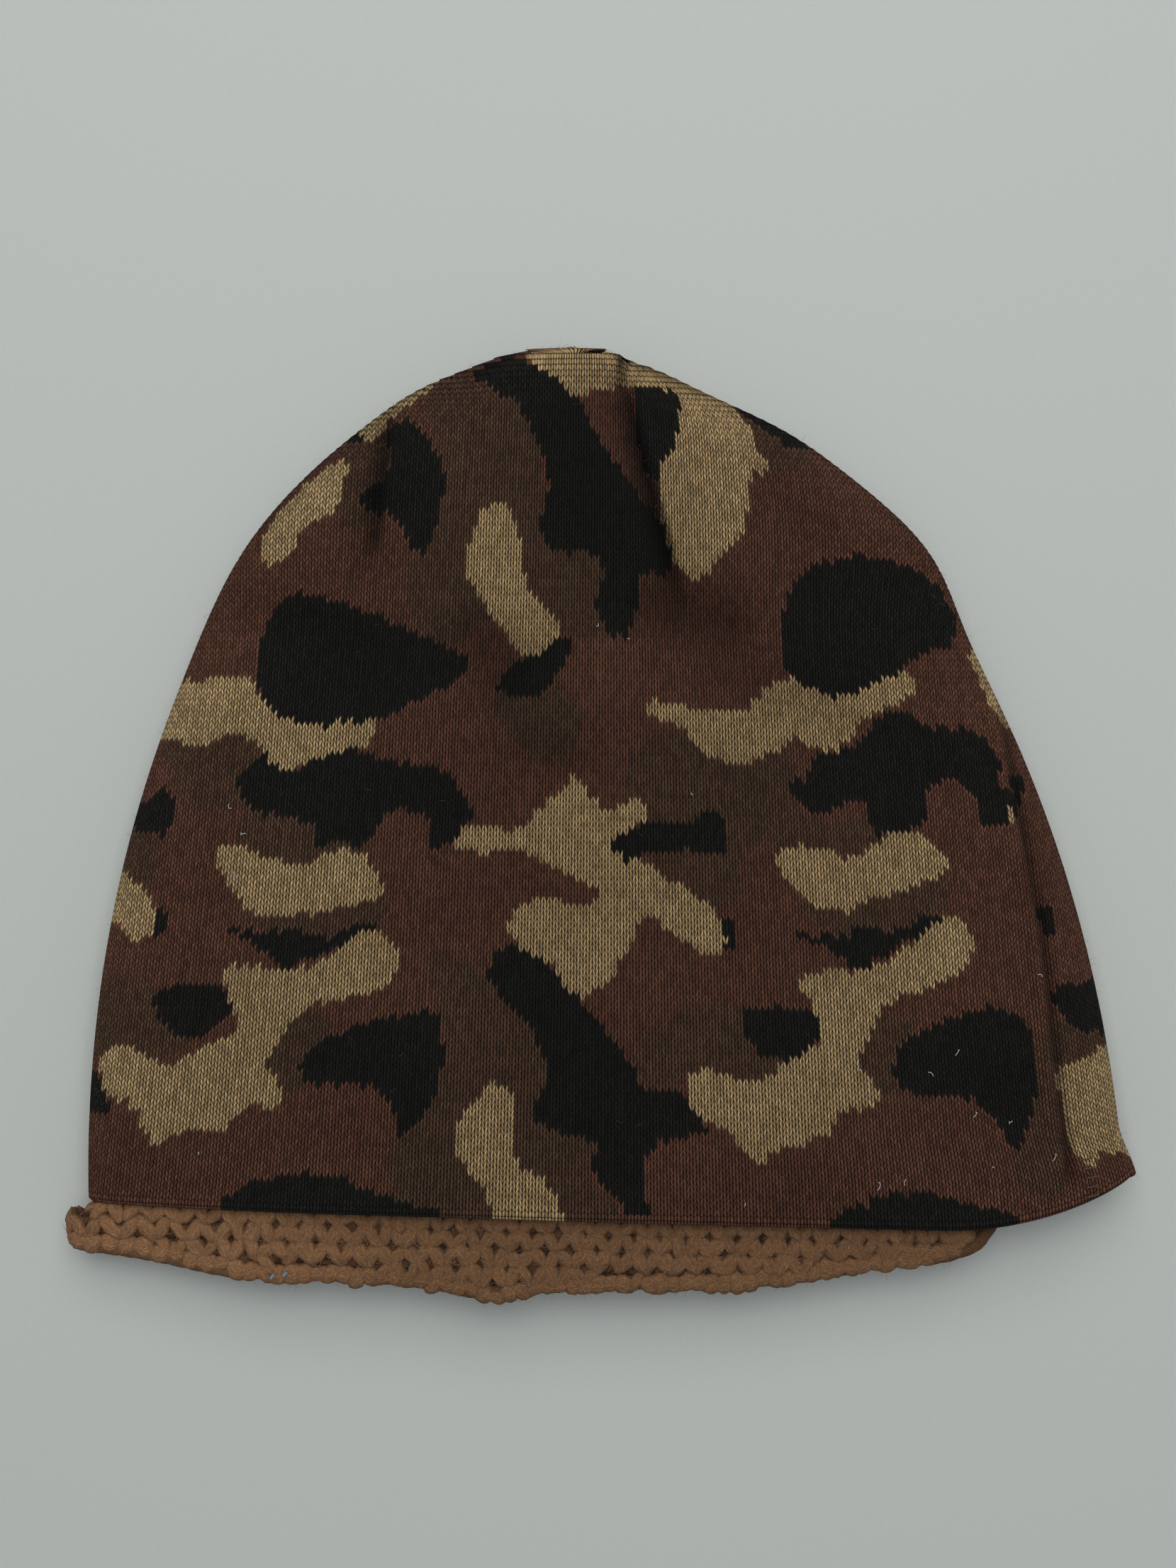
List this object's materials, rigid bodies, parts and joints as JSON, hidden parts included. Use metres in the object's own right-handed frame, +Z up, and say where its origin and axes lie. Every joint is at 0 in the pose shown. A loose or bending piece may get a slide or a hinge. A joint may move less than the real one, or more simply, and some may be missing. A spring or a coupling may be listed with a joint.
{
  "type": "knit beanie with fold-down face mask",
  "caption": "Camouflage knit beanie lying flat, with a chunky brown knit face mask tucked inside that pulls down below the hem.",
  "frame": {"origin": "centre of the whole flat-lying hat, on the surface that it lies on", "axes": "+Z up from that surface, +Y from the hem towards the crown, +X from the front of the hat towards its back seam"},
  "size_m": [0.2392, 0.2152, 0.0234],
  "materials": {
    "camo_knit": "fine jacquard knit in tan, black, burgundy brown and taupe wool",
    "lining_knit": "fine plain knit, matte",
    "mask_yarn": "chunky brown knit, soft and fuzzy",
    "sewing_thread": "dark overlock thread",
    "label_tape": "blank woven satin tape"
  },
  "bodies": {
    "hat": {"outer_shell": "camo_knit", "lining": "lining_knit", "hem_seam_thread": "sewing_thread", "back_seam_overlock": "sewing_thread", "lining_seam_overlock": "sewing_thread", "upper_front_dart_overlock": "sewing_thread", "upper_back_dart_overlock": "sewing_thread", "lower_front_dart_overlock": "sewing_thread", "lower_back_dart_overlock": "sewing_thread", "crown_tack_stitch": "sewing_thread", "care_label": "label_tape"},
    "mask": {"mask_tube": "mask_yarn", "mask_seam_thread": "mask_yarn", "neck_edge_cord": "mask_yarn", "eye_opening_cord": "mask_yarn", "mask_join_thread": "sewing_thread"}
  },
  "joints": [
    {"name": "mask_pull", "type": "slide", "parent": "hat", "child": "mask", "axis": [0, -1, 0], "range_m": [0, 0.118]}
  ]
}
